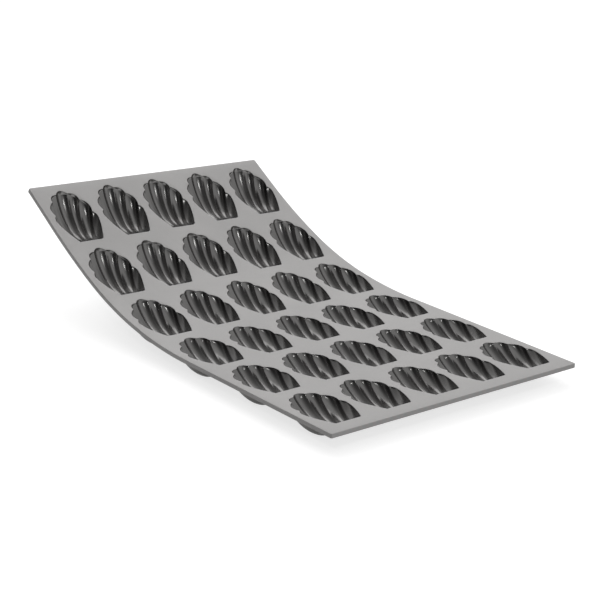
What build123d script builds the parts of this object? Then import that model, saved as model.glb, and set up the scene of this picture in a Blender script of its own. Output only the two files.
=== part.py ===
from build123d import *
import math
import os

# Flexible baking mat for madeleines: one soft moulding with fluted shell cavities,
# five across and six along. Each cavity is a scallop shell: a straight hinge edge at
# its near end, seven rounded flutes that fan out from it, and sharp crests between.
# The mat stands on flats under its cups, and its far end curls up. It is divided where
# it bends: a cup with the sheet around it, a web between two rows, and the end borders.
# X runs across the mat, +Y along it towards the raised end, and +Z up. The origin is
# in the middle of the mat's footprint, on the surface that it stands on.
# Lengths are in millimetres and angles in degrees. Rows count from the near end, and
# columns from the left.

# Sheet
sheet_thickness = 4.5
columns = 5
rows = 6
column_land = 9.0        # flat land between two cavities of a row
row_land = 12.0          # flat land between a fan tip and the next hinge edge
side_land = 8.0          # from an outer cavity to the long edge
near_land = 16.5         # from the near edge to the first hinge edge
far_land = 9.5           # from the last fan tip to the far edge
rim_land = 1.5           # land that belongs to a cup, at its hinge and at its fan tip
corner_radius = 2.0      # of the sheet's four corners
rest_bend_angles = (0.0, 0.0, 10.0, 13.5, 7.5)   # of each web, from the near end

# Cavity, and the cup around it
cavity_length = 74.0
cavity_width = 49.6
hinge_width = 28.4
cavity_depth = 19.2      # of the smooth shell, which the facets make up to 1 mm shallower
cup_wall = 2.5
foot_flat = 1.4          # how far above its full depth a cup is cut flat, to stand on
overrun = 1.0            # how far a cutting form passes the face that it cuts

# Outline of the shell: notches between the flutes, from the fan tip to the side, as
# shares of half the cavity's width and of its length.
flutes = 7
notch_shares = ((0.282, 0.935), (0.653, 0.805), (0.895, 0.545))
side_end_shares = (1.0, 0.405)
# Values for the lines between flutes, in the same order, the side rim last
crest_depth_shares = (0.872, 0.792, 0.52, 0.0)    # of the cavity's depth
crest_bows = (1.0, 1.1, 1.3, 1.35)                # 1 is a straight crest in plan
# Values for the flutes, the middle one first
lobe_bulge_shares = (0.35, 0.256, 0.21, 0.15)     # at the rim, of the flute's width
flute_bulge_shares = (0.33, 0.33, 0.31, 0.1)      # below the rim, of the flute's width
deepest_share = 0.42     # where a crest is deepest, of its run from hinge to rim
arch_power = 0.8         # 0.5 makes a crest two quarter ellipses, and 1 two parabolas
fade_share = 0.1         # the flutes fade out this near the hinge edge
station_shares = (0.0, 0.08, 0.29, 0.6, 0.89, 1.0)   # where the facets meet
inner_facets = (3, 3, 3, 2)   # flat facets across a flute, in the cavity
outer_facets = (2, 2, 2, 2)   # and underneath, where the fewer facets bulge more
outer_bulge_ratio = 1.12

# Derived sizes
column_pitch = cavity_width + column_land
cup_length = cavity_length + 2 * rim_land
web_length = row_land - 2 * rim_land
cup_height = cavity_depth + cup_wall - foot_flat
outer_reach = cavity_width / 2 + side_land
sheet_width = (columns - 1) * column_pitch + 2 * outer_reach


def line_point(line, run, size):
    """A point on a line between two flutes, from the hinge edge to the fan rim."""
    side = 1 if line > flutes / 2 else -1
    index = math.floor(abs(line - flutes / 2))
    x_share, y_share = (notch_shares + (side_end_shares,))[index]
    start = abs(line / flutes - 1 / 2) * size["hinge"]
    spread = 1 - (1 - run) ** crest_bows[index]
    x = start + (x_share * size["width"] / 2 - start) * spread
    part_run = deepest_share if run < deepest_share else 1 - deepest_share
    arch = max(0, 1 - ((run - deepest_share) / part_run) ** 2) ** arch_power
    z = -crest_depth_shares[index] * size["depth"] * arch
    return Vector(side * x, y_share * size["length"] * run, z)


def flute_point(flute, across, run, size):
    """A point in a flute, which lies at 0 and at 1 across on its two lines."""
    left = line_point(flute, run, size)
    right = line_point(flute + 1, run, size)
    chord = right - left
    if run == 1:
        along = Vector(0, 0, 1)
    else:
        step = 0.01
        ahead = min(1, run + step)
        behind = max(0, run - step)
        along = Vector(0, 0, 0)
        for line in (flute, flute + 1):
            along += line_point(line, ahead, size) - line_point(line, behind, size)
    outward = along.cross(chord).normalized()
    index = abs(flute - flutes // 2)
    inside = flute_bulge_shares[index]
    bulge = (inside + (lobe_bulge_shares[index] - inside) * run**4) * chord.length
    bulge *= min(1, run / fade_share) * size["bulge"]
    return left + chord * across + outward * (bulge * 4 * across * (1 - across))


def skin_points(facets, size):
    """Rows of points from the hinge edge to the fan rim, each from left to right."""
    skin = []
    for run in station_shares:
        row = []
        for flute in range(flutes):
            count = facets[abs(flute - flutes // 2)]
            row += [flute_point(flute, i / count, run, size) for i in range(count)]
        row.append(line_point(flutes, run, size))
        skin.append(row)
    return skin


def polygon(points):
    return Face(Wire.make_polygon(points, close=True))


def shell_form(facets, size):
    """Closed solid of the fluted shell, its rim raised by the overrun."""
    skin = skin_points(facets, size)
    faces = []
    for near, far in zip(skin, skin[1:]):
        for i in range(len(near) - 1):
            faces.append(polygon([near[i], near[i + 1], far[i + 1]]))
            faces.append(polygon([near[i], far[i + 1], far[i]]))
    right_rim = [row[-1] for row in skin[1:-1]]
    left_rim = [row[0] for row in skin[1:-1]]
    rim = [skin[0][0], skin[0][-1]] + right_rim + skin[-1][::-1] + left_rim[::-1]
    raised = [point + Vector(0, 0, overrun) for point in rim]
    for i in range(len(rim)):
        after = (i + 1) % len(rim)
        faces.append(polygon([rim[i], rim[after], raised[after], raised[i]]))
    faces.append(polygon(raised))
    return Solid(Shell(faces))


def cavity_form():
    size = {
        "hinge": hinge_width,
        "width": cavity_width,
        "length": cavity_length,
        "depth": cavity_depth,
        "bulge": 1,
    }
    return Pos(0, rim_land, 0) * shell_form(inner_facets, size)


def cup_form():
    """The cup's outside: the same shell, larger by the wall, flat where it stands."""
    size = {
        "hinge": hinge_width + 2 * cup_wall,
        "width": cavity_width + 2 * cup_wall,
        "length": cavity_length + 2 * cup_wall,
        "depth": cavity_depth + cup_wall,
        "bulge": outer_bulge_ratio,
    }
    outside = Pos(0, rim_land - cup_wall, 0) * shell_form(outer_facets, size)
    below_sheet = Box(
        column_pitch,
        cup_length,
        cup_height - sheet_thickness / 2,
        align=(Align.CENTER, Align.MIN, Align.MIN),
    )
    return outside & (Pos(0, 0, -cup_height) * below_sheet)


def sheet_piece(left, right, length):
    """Part of the sheet from x = -left to x = right, its top face at z = 0."""
    block = Box(left + right, length, sheet_thickness, align=(Align.MIN, Align.MIN, Align.MAX))
    return Pos(-left, 0, 0) * block


def cup_cell(left, right):
    """One cup with the sheet around it, its near edge at y = 0."""
    return sheet_piece(left, right, cup_length) + cup_form() - cavity_form()


def web(bend):
    """The strip between two rows, which leaves y = 0 level and bends upwards."""
    if bend == 0:
        return sheet_piece(sheet_width / 2, sheet_width / 2, web_length)
    radius = web_length / math.radians(bend)
    section = Plane.XZ * Pos(0, -sheet_thickness / 2) * Rectangle(sheet_width, sheet_thickness)
    centre_line = Axis((0, 0, radius - sheet_thickness / 2), (1, 0, 0))
    return revolve(section, centre_line, bend)


def past_web(bend):
    """Where a web ends, seen from where it starts."""
    if bend == 0:
        return Pos(0, web_length, 0)
    radius = web_length / math.radians(bend)
    middle = Pos(0, 0, radius - sheet_thickness / 2)
    return middle * Rot(bend, 0, 0) * middle.inverse()


def border(length, corner_y):
    """The strip at an end of the mat, rounded at the two corners at corner_y."""
    strip = sheet_piece(sheet_width / 2, sheet_width / 2, length)
    corners = strip.edges().filter_by(Axis.Z).filter_by_position(Axis.Y, corner_y, corner_y)
    return fillet(corners, corner_radius)


def save(name, shape):
    export_step(shape, f"parts/{name}.step")


def main():
    os.makedirs("parts", exist_ok=True)
    near_border_length = near_land - rim_land
    far_border_length = far_land - rim_land

    # Where each row starts, with the near edge at y = 0 for now
    starts = [Pos(0, near_border_length, cup_height)]
    webs = []
    for bend in rest_bend_angles:
        webs.append(starts[-1] * Pos(0, cup_length, 0))
        starts.append(webs[-1] * past_web(bend))
    far_edge = starts[-1] * Pos(0, cup_length + far_border_length, -sheet_thickness)
    centring = Pos(0, -far_edge.position.Y / 2, 0)

    half_pitch = column_pitch / 2
    middle_cup = cup_cell(half_pitch, half_pitch)
    left_cup = cup_cell(outer_reach, half_pitch)
    right_cup = cup_cell(half_pitch, outer_reach)
    for row, start in enumerate(starts, 1):
        for column in range(1, columns + 1):
            cup = {1: left_cup, columns: right_cup}.get(column, middle_cup)
            across = Pos((column - (columns + 1) / 2) * column_pitch, 0, 0)
            save(f"cup_row_{row}_column_{column}", centring * start * across * cup)
    for row, (start, bend) in enumerate(zip(webs, rest_bend_angles), 1):
        save(f"web_between_rows_{row}_{row + 1}", centring * start * web(bend))
    near = border(near_border_length, 0)
    save("near_border", centring * Pos(0, 0, cup_height) * near)
    far = border(far_border_length, far_border_length)
    save("far_border", centring * starts[-1] * Pos(0, cup_length, 0) * far)


main()
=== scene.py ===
import math

import bpy
import numpy as np
from mathutils import Matrix, Vector


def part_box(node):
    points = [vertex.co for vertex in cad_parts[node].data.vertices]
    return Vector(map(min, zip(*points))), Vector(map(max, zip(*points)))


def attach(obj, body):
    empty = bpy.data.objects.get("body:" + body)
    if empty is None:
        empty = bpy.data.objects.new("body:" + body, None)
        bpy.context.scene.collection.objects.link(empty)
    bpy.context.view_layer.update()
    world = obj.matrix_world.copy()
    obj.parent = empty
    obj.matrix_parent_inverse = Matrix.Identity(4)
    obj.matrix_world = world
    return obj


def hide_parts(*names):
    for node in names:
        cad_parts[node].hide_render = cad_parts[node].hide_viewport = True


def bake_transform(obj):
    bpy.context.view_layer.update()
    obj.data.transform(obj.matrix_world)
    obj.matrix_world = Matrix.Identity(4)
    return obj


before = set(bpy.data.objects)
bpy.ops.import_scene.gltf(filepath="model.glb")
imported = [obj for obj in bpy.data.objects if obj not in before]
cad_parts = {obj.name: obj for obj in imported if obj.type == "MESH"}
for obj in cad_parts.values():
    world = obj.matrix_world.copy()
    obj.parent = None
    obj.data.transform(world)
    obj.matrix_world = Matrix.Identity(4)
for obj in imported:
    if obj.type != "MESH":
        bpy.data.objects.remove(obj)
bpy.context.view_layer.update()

# Looks of a flexible baking mat: a matt grey sheet with thirty polished shell cavities.
# Every piece is first made flat, as (x, s, z): x across the mat, s along it from the
# near edge, and z up from the top face. Then on_mat bends it to the photographed curl.
# Metres and radians, unless a name says otherwise.

MM = 0.001

# Sizes read from the frame
cell_low, cell_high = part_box("cup_row_1_column_3")
edge_low, edge_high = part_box("near_border")
web_low, web_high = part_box("web_between_rows_1_2")
pitch = cell_high.x - cell_low.x
half_pitch = pitch / 2
cup_length = cell_high.y - cell_low.y
top_height = cell_high.z
thickness = edge_high.z - edge_low.z
half_width = edge_high.x
near_edge = edge_low.y
near_border = edge_high.y - edge_low.y
web_length = web_high.y - web_low.y
row_pitch = cup_length + web_length
columns = 5
rows = 6
outer_reach = half_width - columns // 2 * pitch   # of an outer cell, from its middle

# Sizes of the cavity and of the mat's ends, as in the construction
cavity_length = 74.0 * MM
cavity_width = 49.6 * MM
hinge_width = 28.4 * MM
rim_land = (cup_length - cavity_length) / 2
cavity_depth = 19.2 * MM
wall = 2.5 * MM
end_wall = 1.3 * MM       # wall at the hinge edge and the fan tip
far_border = 8.0 * MM
corner_radius = 2.0 * MM
edge_radius = 0.7 * MM    # rounding along the mat's outer edges
lip_radius = 0.45 * MM    # rounding of a cavity's rim
foot_flat = 1.4 * MM      # how far above its full depth a cup is cut flat, to stand on
cup_blend = 1.6 * MM      # half height of the curve where a cup runs out into the sheet
crest_softening = 0.3     # how far a crest sinks, of the way to the flanks beside it
polished_lip = 1.0        # angle round the lip up to which it is polished
sharp_angle = math.radians(50)
tiny = 1e-9

# How the mat lies: each web's bend at rest, and a slight twist of the far half
rest_bends = np.radians((0.0, 0.0, 10.0, 13.5, 7.5))
twist = math.radians(2.84)
twist_start = 200 * MM

# The shell. Its notches between the flutes are shares of half the cavity's width and of
# its length, from the fan tip to the side. The other values go with them, or with the
# flutes, the middle one first.
flutes = 7
notch_shares = ((0.282, 0.935), (0.653, 0.805), (0.895, 0.545), (1.0, 0.405))
crest_depth_shares = (0.872, 0.792, 0.52, 0.0)
crest_bows = (1.0, 1.1, 1.3, 1.35)
lobe_bulge_shares = (0.35, 0.256, 0.21, 0.15)
flute_bulge_shares = (0.33, 0.33, 0.31, 0.1)
deepest_share = 0.42      # where a crest is deepest, of its run from hinge to rim
fade_share = 0.1          # the flutes fade out this near the hinge edge
rim_power = 4             # how late a flute's bulge turns into its lobe at the rim
arch_power = 0.92         # 0.5 makes a crest two quarter ellipses, and 1 two parabolas
run_nudge = 0.005         # step over which a flute's direction is taken
hub_share = 0.47          # where the rings round a cavity spread from, of its length

# How finely the shapes are divided
across_shares = (0.0, 0.05, 0.12, 0.22, 0.35, 0.5, 0.65, 0.78, 0.88, 0.95)
run_count = 30
line_steps = 1060         # along the mat's bend
lip_steps = 3
edge_steps = 4            # in each of the two quarter turns round the mat's edge
corner_steps = 6
end_steps = 40            # across the mat, at its ends
web_across_steps = 30
web_along_steps = 8
land_shares = (0.3, 0.65, 1.0)    # rings on the land round a cavity
under_shares = (0.5, 1.0)         # rings on the underside round a cup


# The mat's bend

mat_length = near_border + rows * cup_length + (rows - 1) * web_length + far_border


def bend_line():
    """The mat's mid surface along its length: s, y, z and slope."""
    s = np.linspace(0, mat_length, line_steps + 1)
    slope = np.zeros_like(s)
    for index, bend in enumerate(rest_bends):
        middle = near_border + (index + 1) * row_pitch - web_length / 2
        slope += bend * np.clip((s - middle) / row_pitch + 0.5, 0, 1)
    mean_slope = (slope[1:] + slope[:-1]) / 2
    step = np.diff(s)
    y = near_edge + np.concatenate([[0], np.cumsum(np.cos(mean_slope) * step)])
    z = top_height - thickness / 2 + np.concatenate([[0], np.cumsum(np.sin(mean_slope) * step)])
    return s, y, z, slope


line_s, line_y, line_z, line_slope = bend_line()


def smooth(t):
    t = np.clip(t, 0, 1)
    return t * t * (3 - 2 * t)


def on_mat(points):
    """Flat places, as rows of (x, s, z), carried to where they lie on the bent mat."""
    x, s, z = np.asarray(points, float).T
    y_mid = np.interp(s, line_s, line_y)
    z_mid = np.interp(s, line_s, line_z)
    slope = np.interp(s, line_s, line_slope)
    beyond = s - np.clip(s, 0, mat_length)
    turn = twist * smooth((s - twist_start) / (mat_length - twist_start))
    above = z + thickness / 2
    height = above * np.cos(turn) - x * np.sin(turn)
    side = x * np.cos(turn) + above * np.sin(turn)
    along_y = y_mid + beyond * np.cos(slope) - np.sin(slope) * height
    along_z = z_mid + beyond * np.sin(slope) + np.cos(slope) * height
    return np.stack([side, along_y, along_z], 1)


# The shell's form, in the cell's own places: x across, y from the hinge edge, z up


def line_points(line, runs, size):
    """Points on a line between two flutes, for runs from the hinge edge to the rim."""
    side = 1 if line > flutes / 2 else -1
    index = math.floor(abs(line - flutes / 2))
    x_share, y_share = notch_shares[index]
    start = abs(line / flutes - 1 / 2) * size["hinge"]
    spread = 1 - (1 - runs) ** crest_bows[index]
    x = start + (x_share * size["width"] / 2 - start) * spread
    part = np.where(runs < deepest_share, deepest_share, 1 - deepest_share)
    arch = np.clip(1 - ((runs - deepest_share) / part) ** 2, 0, 1) ** arch_power
    z = -crest_depth_shares[index] * size["depth"] * arch
    return np.stack([side * x, y_share * size["length"] * runs, z], 1)


def shell_grid(size):
    """Grid of places on a fluted shell: [run, across, xyz]."""
    turn = np.linspace(0, math.pi, run_count + 1)
    swing = -np.cos(turn)
    runs = deepest_share + swing * np.where(swing < 0, deepest_share, 1 - deepest_share)
    ahead = np.clip(runs + run_nudge, 0, 1)
    behind = np.clip(runs - run_nudge, 0, 1)
    columns_of_points = []
    for flute in range(flutes):
        left = line_points(flute, runs, size)
        right = line_points(flute + 1, runs, size)
        along = sum(
            line_points(line, ahead, size) - line_points(line, behind, size)
            for line in (flute, flute + 1)
        )
        along[-1] = (0, 0, 1)
        chord = right - left
        length = np.linalg.norm(chord, axis=1, keepdims=True)
        outward = np.cross(along, chord)
        outward /= np.linalg.norm(outward, axis=1, keepdims=True)
        index = abs(flute - flutes // 2)
        inside = flute_bulge_shares[index]
        share = inside + (lobe_bulge_shares[index] - inside) * runs**rim_power
        share *= smooth(runs / fade_share)
        bulge = share[:, None] * length
        for a in across_shares:
            columns_of_points.append(left + chord * a + outward * bulge * 4 * a * (1 - a))
    columns_of_points.append(line_points(flutes, runs, size))
    return np.stack(columns_of_points, 1)


def soften_crests(grid):
    """Round the crests a little: each crest sinks towards the flanks beside it."""
    count = len(across_shares)
    for column in range(count, flutes * count, count):
        beside = (grid[1:-1, column - 1] + grid[1:-1, column + 1]) / 2
        crest = grid[1:-1, column]
        grid[1:-1, column] = crest * (1 - crest_softening) + beside * crest_softening
    return grid


def cavity_grid():
    size = {
        "hinge": hinge_width,
        "width": cavity_width,
        "length": cavity_length,
        "depth": cavity_depth - lip_radius,
    }
    grid = soften_crests(shell_grid(size))
    grid[..., 2] -= lip_radius
    return grid


def cup_grid():
    """The cup's outside, which runs out flat into the sheet's underside."""
    size = {
        "hinge": hinge_width + 2 * wall,
        "width": cavity_width + 2 * wall,
        "length": cavity_length + 2 * end_wall,
        "depth": cavity_depth + wall,
    }
    grid = soften_crests(shell_grid(size))
    grid[..., 1] -= end_wall
    above = grid[..., 2] + thickness
    gap = np.clip(0.5 + above / (2 * cup_blend), 0, 1)
    curve = cup_blend * gap * (1 - gap) * (np.abs(above) < cup_blend)
    grid[..., 2] = np.minimum(grid[..., 2], -thickness) - curve
    grid[..., 2] = np.maximum(grid[..., 2], -(cavity_depth + wall - foot_flat))
    return grid


def rim_loop(grid):
    """Indices (run, across) round the edge of the grid, starting at the left hinge corner."""
    last_run, last_across = grid.shape[0] - 1, grid.shape[1] - 1
    loop = [(0, i) for i in range(last_across + 1)]
    loop += [(r, last_across) for r in range(1, last_run + 1)]
    loop += [(last_run, i) for i in range(last_across - 1, -1, -1)]
    loop += [(r, 0) for r in range(last_run - 1, 0, -1)]
    return loop


def onto_rectangle(points, left, right, near, far):
    """For each rim point, the place where the ray to it from the cell's middle meets the
    rectangle. The four nearest to the corners go to the corners."""
    middle = np.array([0.0, cavity_length * hub_share])
    ray = points - middle
    with np.errstate(divide="ignore"):
        to_side = np.where(ray[:, 0] > 0, right, left) / ray[:, 0]
        to_end = (np.where(ray[:, 1] > 0, far, near) - middle[1]) / ray[:, 1]
    reach = np.minimum(np.abs(to_side), np.abs(to_end))
    target = middle + ray * reach[:, None]
    for x in (left, right):
        for y in (near, far):
            corner = np.array([x, y])
            target[np.argmin(np.linalg.norm(target - corner, axis=1))] = corner
    return target


class Net:
    """Collects the points and faces of one piece, with a material for each face."""

    def __init__(self):
        self.points = []
        self.faces = []
        self.kinds = []
        self.count = 0

    def add(self, points):
        points = np.asarray(points, float).reshape(-1, 3)
        self.points.append(points)
        start = self.count
        self.count += len(points)
        return np.arange(start, self.count)

    def face(self, corners, kind):
        kept = [c for i, c in enumerate(corners) if c != corners[i - 1]]
        if len(kept) > 2:
            self.faces.append([int(c) for c in kept])
            self.kinds.append(kind)

    def strip(self, first, second, kind, closed=False):
        """Quads between two rows of points of the same length."""
        for i in range(len(first) - (0 if closed else 1)):
            j = (i + 1) % len(first)
            self.face((first[i], first[j], second[j], second[i]), kind)

    def sheet(self, grid, kind, flip=False):
        for near, far in zip(grid, grid[1:]):
            if flip:
                self.strip(far, near, kind)
            else:
                self.strip(near, far, kind)


SHEET, CAVITY = 0, 1


def side_profile():
    """The mat's outer edge from its top face round to its underside: (inset, z)."""
    places = []
    for angle in np.linspace(0, math.pi / 2, edge_steps + 1):
        inset = edge_radius * (1 - math.sin(angle))
        places.append((inset, -edge_radius * (1 - math.cos(angle))))
    for angle in np.linspace(0, math.pi / 2, edge_steps + 1):
        inset = edge_radius * (1 - math.cos(angle))
        places.append((inset, -thickness + edge_radius * (1 - math.sin(angle))))
    return places


def close_side(net, border, top_ring, bottom_ring, x, sign):
    """Round the mat's long edge at x, from the cell's top ring to its bottom ring."""
    chosen = [i for i in range(len(border)) if abs(border[i, 0] - x) < tiny]
    chosen.sort(key=lambda i: border[i, 1])
    lines = [top_ring[chosen]]
    for inset, z in side_profile()[1:-1]:
        across = np.full(len(chosen), x + sign * (edge_radius - inset))
        height = np.full(len(chosen), z)
        lines.append(net.add(np.column_stack([across, border[chosen, 1], height])))
    lines.append(bottom_ring[chosen])
    for upper, lower in zip(lines, lines[1:]):
        if sign > 0:
            net.strip(lower, upper, SHEET)
        else:
            net.strip(upper, lower, SHEET)
    for end in (0, -1):
        cap = [line[end] for line in lines]
        if (end == 0) == (sign > 0):
            cap = cap[::-1]
        net.face(cap, SHEET)


def cell_net(left, right):
    """One cup with its sheet, flat, from x = left to right. An outer side is rounded."""
    net = Net()
    near, far = -rim_land, cavity_length + rim_land
    inner = cavity_grid()
    outer = cup_grid()
    outer[..., 0] = np.clip(outer[..., 0], -half_pitch, half_pitch)
    loop = rim_loop(inner)
    inside = net.add(inner).reshape(inner.shape[:2])
    outside = net.add(outer).reshape(outer.shape[:2])
    net.sheet(inside, CAVITY)
    net.sheet(outside, SHEET, flip=True)
    inner_rim = np.array([inside[i] for i in loop])
    outer_rim = np.array([outside[i] for i in loop])
    rim = np.array([inner[i] for i in loop])[:, :2]
    open_left = left < -half_pitch - tiny
    open_right = right > half_pitch + tiny
    sheet_left = left + (edge_radius if open_left else 0)
    sheet_right = right - (edge_radius if open_right else 0)
    border = onto_rectangle(rim, sheet_left, sheet_right, near, far)
    away = border - rim
    away /= np.maximum(np.linalg.norm(away, axis=1, keepdims=True), tiny)
    previous = inner_rim
    for angle in np.linspace(0, math.pi / 2, lip_steps + 1)[1:]:
        step = lip_radius * (1 - math.cos(angle))
        height = -lip_radius * (1 - math.sin(angle))
        ring = net.add(np.column_stack([rim + away * step, np.full(len(rim), height)]))
        net.strip(previous, ring, CAVITY if angle < polished_lip else SHEET, closed=True)
        previous = ring
    lip = rim + away * lip_radius
    for share in land_shares:
        ring = net.add(np.column_stack([lip + (border - lip) * share, np.zeros(len(rim))]))
        net.strip(previous, ring, SHEET, closed=True)
        previous = ring
    top_ring = previous
    under = np.array([outer[i] for i in loop])[:, :2]
    previous = outer_rim
    for share in under_shares:
        place = under + (border - under) * share
        ring = net.add(np.column_stack([place, np.full(len(rim), -thickness)]))
        net.strip(ring, previous, SHEET, closed=True)
        previous = ring
    bottom_ring = previous
    for i in range(len(rim)):
        j = (i + 1) % len(rim)
        on_left = abs(border[[i, j], 0] - sheet_left).sum() < tiny
        on_right = abs(border[[i, j], 0] - sheet_right).sum() < tiny
        if (on_left and open_left) or (on_right and open_right):
            continue
        net.face((top_ring[i], bottom_ring[i], bottom_ring[j], top_ring[j]), SHEET)
    if open_left:
        close_side(net, border, top_ring, bottom_ring, sheet_left, -1)
    if open_right:
        close_side(net, border, top_ring, bottom_ring, sheet_right, 1)
    return net


def outline_band(path, inward, join_s):
    """A border strip: path is its outer edge from join to join, and inward points in."""
    net = Net()
    lines = []
    for inset, z in side_profile():
        place = path + inward * inset
        lines.append(net.add(np.column_stack([place, np.full(len(path), z)])))
    for upper, lower in zip(lines, lines[1:]):
        net.strip(lower, upper, SHEET)
    joins = []
    for line, z in ((lines[0], 0.0), (lines[-1], -thickness)):
        x = np.concatenate(net.points)[line][:, 0]
        place = np.column_stack([x, np.full(len(x), join_s), np.full(len(x), z)])
        join = net.add(place)
        join[0], join[-1] = line[0], line[-1]
        joins.append(join)
    net.strip(lines[0], joins[0], SHEET)
    net.strip(joins[1], lines[-1], SHEET)
    net.strip(joins[0], joins[1], SHEET)
    return net, lines


def border_net(join_s, outer_s):
    """The strip between join_s and the mat's end at outer_s."""
    toward = 1 if outer_s > join_s else -1
    centre_s = outer_s - toward * corner_radius
    centre_x = half_width - corner_radius
    path = [(half_width, join_s)]
    inward = [(-1.0, 0.0)]
    for angle in np.linspace(0, math.pi / 2, corner_steps + 1):
        out = np.array([math.cos(angle), toward * math.sin(angle)])
        path.append((centre_x + corner_radius * out[0], centre_s + corner_radius * out[1]))
        inward.append(tuple(-out))
    side_count = len(path)
    for x in np.linspace(centre_x, -centre_x, end_steps + 1)[1:-1]:
        path.append((x, outer_s))
        inward.append((0.0, -float(toward)))
    mirrored = [(-x, s) for x, s in path[:side_count]][::-1]
    mirrored_inward = [(-x, s) for x, s in inward[:side_count]][::-1]
    path = np.array(path + mirrored)
    inward = np.array(inward + mirrored_inward)
    if toward < 0:
        path, inward = path[::-1], inward[::-1]
    net, lines = outline_band(path, inward, join_s)
    for end in (0, -1):
        cap = [line[end] for line in lines]
        net.face(cap if end == 0 else cap[::-1], SHEET)
    return net


def web_net(near_s, far_s):
    """The strip between two rows, as a closed band of quads."""
    net = Net()
    profile = side_profile()
    section = [(half_width - inset, z) for inset, z in profile]
    flat = half_width - edge_radius
    inner_x = np.linspace(flat, -flat, web_across_steps + 1)
    section += [(x, -thickness) for x in inner_x[1:-1]]
    section += [(-half_width + inset, z) for inset, z in profile[::-1]]
    section += [(x, 0.0) for x in inner_x[::-1][1:-1]]
    section = np.array(section)
    rings = []
    for s in np.linspace(near_s, far_s, web_along_steps + 1):
        along = np.full(len(section), s)
        rings.append(net.add(np.column_stack([section[:, 0], along, section[:, 1]])))
    for near, far in zip(rings, rings[1:]):
        net.strip(near, far, SHEET, closed=True)
    net.face(list(rings[0][::-1]), SHEET)
    net.face(list(rings[-1]), SHEET)
    return net


def make_piece(name, net, shift_x, shift_s):
    """A mesh object from a net, moved along the flat mat and then bent with it."""
    flat = np.concatenate(net.points) + np.array([shift_x, shift_s, 0.0])
    mesh = bpy.data.meshes.new(name)
    mesh.from_pydata(on_mat(flat).tolist(), [], net.faces)
    mesh.materials.append(sheet_material)
    mesh.materials.append(cavity_material)
    mesh.polygons.foreach_set("material_index", net.kinds)
    mesh.polygons.foreach_set("use_smooth", [True] * len(net.faces))
    piece = bpy.data.objects.new(name, mesh)
    bpy.context.scene.collection.objects.link(piece)
    mesh.set_sharp_from_angle(angle=sharp_angle)
    mesh.update()
    return piece


# Materials. A noise is its scale and its detail, and a bump its strength and height.

noise_middle = (0.3, 0.7)     # the part of a noise's range that is spread out
sheet_tones = ((0.371, 0.363, 0.359), (0.41, 0.401, 0.396))
sheet_speck = (0.28, 0.27, 0.265)
sheet_speck_share = 0.12      # how far the darkest specks go towards that colour
sheet_clouds = (18, 4)
sheet_grain = (900, 4)
sheet_roughness = (0.5, 0.6)
sheet_specular = 0.4
sheet_bump = (0.12, 0.2 * MM)
# the cavity greys are darker than the sheet's: partly the polished silicone's own colour,
# partly painted shade of the hollows
cavity_tones_and_painted_shade = ((0.17, 0.167, 0.164), (0.2, 0.197, 0.194))
cavity_clouds = (45, 4)
cavity_grain = (700, 3)
cavity_roughness = (0.22, 0.27)
cavity_specular = 0.55
cavity_bump = (0.03, 0.1 * MM)


def new_material(name):
    material = bpy.data.materials.new(name)
    material.use_nodes = True
    return material, material.node_tree.nodes, material.node_tree.links


def noise(nodes, links, scale_and_detail, source):
    texture = nodes.new("ShaderNodeTexNoise")
    scale, detail = scale_and_detail
    texture.inputs["Scale"].default_value = scale
    texture.inputs["Detail"].default_value = detail
    links.new(source, texture.inputs["Vector"])
    return texture.outputs["Fac"]


def ramp(nodes, links, source, low, high):
    """A grey that runs from low to high over the middle of a noise's range."""
    blend = nodes.new("ShaderNodeMapRange")
    blend.inputs["From Min"].default_value = noise_middle[0]
    blend.inputs["From Max"].default_value = noise_middle[1]
    blend.inputs["To Min"].default_value = low
    blend.inputs["To Max"].default_value = high
    links.new(source, blend.inputs["Value"])
    return blend.outputs["Result"]


def mixed(nodes, links, factor, first, second):
    """A mix of two colours, each given as red, green and blue or as a node's output."""
    mix = nodes.new("ShaderNodeMix")
    mix.data_type = "RGBA"
    for socket, colour in (("A", first), ("B", second)):
        if isinstance(colour, tuple):
            mix.inputs[socket].default_value = (*colour, 1)
        else:
            links.new(colour, mix.inputs[socket])
    links.new(factor, mix.inputs["Factor"])
    return mix.outputs["Result"]


def bump(nodes, links, source, strength_and_height, shader):
    node = nodes.new("ShaderNodeBump")
    strength, height = strength_and_height
    node.inputs["Strength"].default_value = strength
    node.inputs["Distance"].default_value = height
    links.new(source, node.inputs["Height"])
    links.new(node.outputs["Normal"], shader.inputs["Normal"])


def make_sheet_material():
    """Matt silicone with a fine grain and faint cloudy patches."""
    material, nodes, links = new_material("silicone_sheet")
    shader = nodes["Principled BSDF"]
    place = nodes.new("ShaderNodeTexCoord").outputs["Object"]
    clouds = noise(nodes, links, sheet_clouds, place)
    grain = noise(nodes, links, sheet_grain, place)
    cloudy = mixed(nodes, links, ramp(nodes, links, clouds, 0, 1), *sheet_tones)
    specks = ramp(nodes, links, grain, 0, sheet_speck_share)
    colour = mixed(nodes, links, specks, cloudy, sheet_speck)
    links.new(colour, shader.inputs["Base Color"])
    links.new(ramp(nodes, links, grain, *sheet_roughness), shader.inputs["Roughness"])
    shader.inputs["Specular IOR Level"].default_value = sheet_specular
    bump(nodes, links, grain, sheet_bump, shader)
    return material


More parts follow.
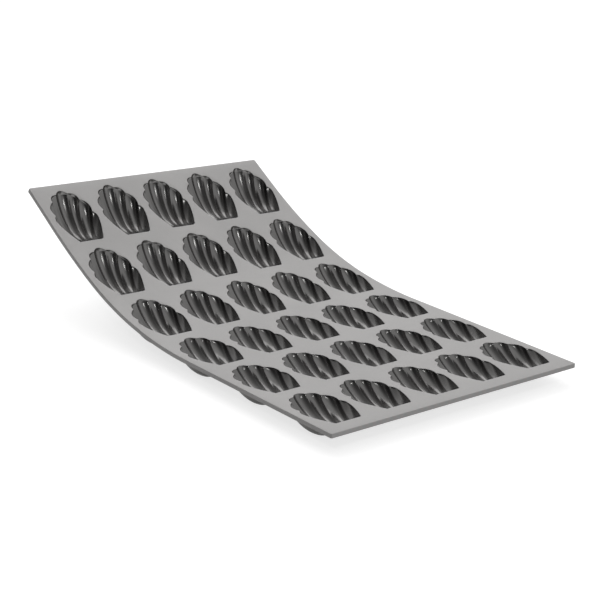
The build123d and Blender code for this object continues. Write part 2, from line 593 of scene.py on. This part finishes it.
def make_cavity_material():
    """Polished silicone whose grey, darker than the sheet's, is partly its own darker colour
    and partly painted shade of the hollows, with faint swirls where the mould was worked. It is
    set as a metal, because the photographed cavities mirror the studio as strongly as one."""
    material, nodes, links = new_material("silicone_cavity")
    shader = nodes["Principled BSDF"]
    place = nodes.new("ShaderNodeTexCoord").outputs["Object"]
    clouds = noise(nodes, links, cavity_clouds, place)
    grain = noise(nodes, links, cavity_grain, place)
    colour = mixed(nodes, links, ramp(nodes, links, clouds, 0, 1), *cavity_tones_and_painted_shade)
    links.new(colour, shader.inputs["Base Color"])
    links.new(ramp(nodes, links, clouds, *cavity_roughness), shader.inputs["Roughness"])
    shader.inputs["Specular IOR Level"].default_value = cavity_specular
    shader.inputs["Metallic"].default_value = 1.0
    bump(nodes, links, grain, cavity_bump, shader)
    return material


sheet_material = make_sheet_material()
cavity_material = make_cavity_material()


# The pieces

middle_net = cell_net(-half_pitch, half_pitch)
left_net = cell_net(-outer_reach, half_pitch)
right_net = cell_net(-half_pitch, outer_reach)


def start_of_row(row):
    return near_border + (row - 1) * row_pitch


for row in range(1, rows + 1):
    for column in range(1, columns + 1):
        net = {1: left_net, columns: right_net}.get(column, middle_net)
        centre_x = (column - (columns + 1) / 2) * pitch
        name = f"cup_row_{row}_column_{column}"
        hinge_s = start_of_row(row) + rim_land
        piece = make_piece(f"shell_{row}_{column}", net, centre_x, hinge_s)
        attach(piece, f"row_{row}")
        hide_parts(name)

for row in range(1, rows):
    near_s = start_of_row(row) + cup_length
    piece = make_piece(f"web_{row}_{row + 1}", web_net(near_s, near_s + web_length), 0, 0)
    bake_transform(piece)
    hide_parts(f"web_between_rows_{row}_{row + 1}")

near_piece = make_piece("near_end", border_net(near_border, 0.0), 0, 0)
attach(near_piece, "row_1")
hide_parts("near_border")

far_join = start_of_row(rows) + cup_length
far_piece = make_piece("far_end", border_net(far_join, mat_length), 0, 0)
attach(far_piece, f"row_{rows}")
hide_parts("far_border")


# Studio: a white floor that keeps the shadow, a sky that is dark on one side, a large
# lamp behind the mat, and a small one that makes the spots in the flutes.

floor_size = 60
floor_grey = 0.5
floor_roughness = 0.9
floor_lift = 0.72                       # its own light, which only rays that see it get
sky_dark_axis = (-0.97, -0.2, 0.1)      # towards the dark side of the studio
sky_edges = (0.0, 0.98)                 # cosines from that axis, where it is light and dark
sky_light = 0.74
sky_dark = 0.04
lamps = {                               # place, size and power
    "back": ((0.55, 1.05, 1.4), (2.2, 1.7), 17),
    "spark": ((-1.22, -1.22, 1.35), (0.14, 0.2), 4),
}
camera_place = (-1.06814, -1.35499, top_height + 0.60758)
camera_elevation, camera_azimuth, camera_roll = np.radians((18.787, 38.665, 1.45))
camera_lens = 109.1
camera_sensor = 36
camera_clip = (0.1, 50)


def make_floor():
    bpy.ops.mesh.primitive_plane_add(size=floor_size, location=(0, 0, 0))
    floor = bpy.context.object
    floor.name = "floor"
    material, nodes, links = new_material("studio_floor")
    shader = nodes["Principled BSDF"]
    shader.inputs["Base Color"].default_value = (floor_grey, floor_grey, floor_grey, 1)
    shader.inputs["Roughness"].default_value = floor_roughness
    shader.inputs["Specular IOR Level"].default_value = 0.0
    path = nodes.new("ShaderNodeLightPath")
    seen = path.outputs["Is Camera Ray"]
    for ray in ("Is Glossy Ray", "Is Transmission Ray"):
        either = nodes.new("ShaderNodeMath")
        either.operation = "ADD"
        either.use_clamp = True
        links.new(seen, either.inputs[0])
        links.new(path.outputs[ray], either.inputs[1])
        seen = either.outputs[0]
    lift = nodes.new("ShaderNodeMath")
    lift.operation = "MULTIPLY"
    lift.inputs[1].default_value = floor_lift
    links.new(seen, lift.inputs[0])
    shader.inputs["Emission Color"].default_value = (1, 1, 1, 1)
    links.new(lift.outputs[0], shader.inputs["Emission Strength"])
    floor.data.materials.append(material)


def make_world():
    world = bpy.data.worlds.new("studio")
    bpy.context.scene.world = world
    world.use_nodes = True
    nodes, links = world.node_tree.nodes, world.node_tree.links
    soft = nodes["Background"]
    soft.inputs["Color"].default_value = (1, 1, 1, 1)
    direction = nodes.new("ShaderNodeTexCoord").outputs["Generated"]
    along = nodes.new("ShaderNodeVectorMath")
    along.operation = "DOT_PRODUCT"
    along.inputs[1].default_value = sky_dark_axis
    links.new(direction, along.inputs[0])
    fall = nodes.new("ShaderNodeMapRange")
    fall.interpolation_type = "SMOOTHSTEP"
    fall.inputs["From Min"].default_value = sky_edges[0]
    fall.inputs["From Max"].default_value = sky_edges[1]
    fall.inputs["To Min"].default_value = sky_light
    fall.inputs["To Max"].default_value = sky_dark
    links.new(along.outputs["Value"], fall.inputs["Value"])
    links.new(fall.outputs["Result"], soft.inputs["Strength"])


def make_lamp(name, place, size, power):
    """A rectangular lamp that points at the mat's middle."""
    data = bpy.data.lights.new(name, "AREA")
    data.shape = "RECTANGLE"
    data.size, data.size_y = size
    data.energy = power
    lamp = bpy.data.objects.new(name, data)
    lamp.location = place
    lamp.rotation_mode = "QUATERNION"
    lamp.rotation_quaternion = (-Vector(place)).to_track_quat("-Z", "Y")
    bpy.context.scene.collection.objects.link(lamp)


def make_camera():
    data = bpy.data.cameras.new("camera")
    data.lens = camera_lens
    data.sensor_width = camera_sensor
    data.clip_start, data.clip_end = camera_clip
    camera = bpy.data.objects.new("camera", data)
    turned = Matrix.Rotation(-camera_azimuth, 4, "Z")
    turned = turned @ Matrix.Rotation(math.pi / 2 - camera_elevation, 4, "X")
    turned = turned @ Matrix.Rotation(camera_roll, 4, "Z")
    camera.matrix_world = Matrix.Translation(camera_place) @ turned
    bpy.context.scene.collection.objects.link(camera)
    bpy.context.scene.camera = camera


make_floor()
make_world()
for name, (place, size, power) in lamps.items():
    make_lamp(name, place, size, power)
make_camera()
bpy.context.scene.view_settings.view_transform = "Standard"
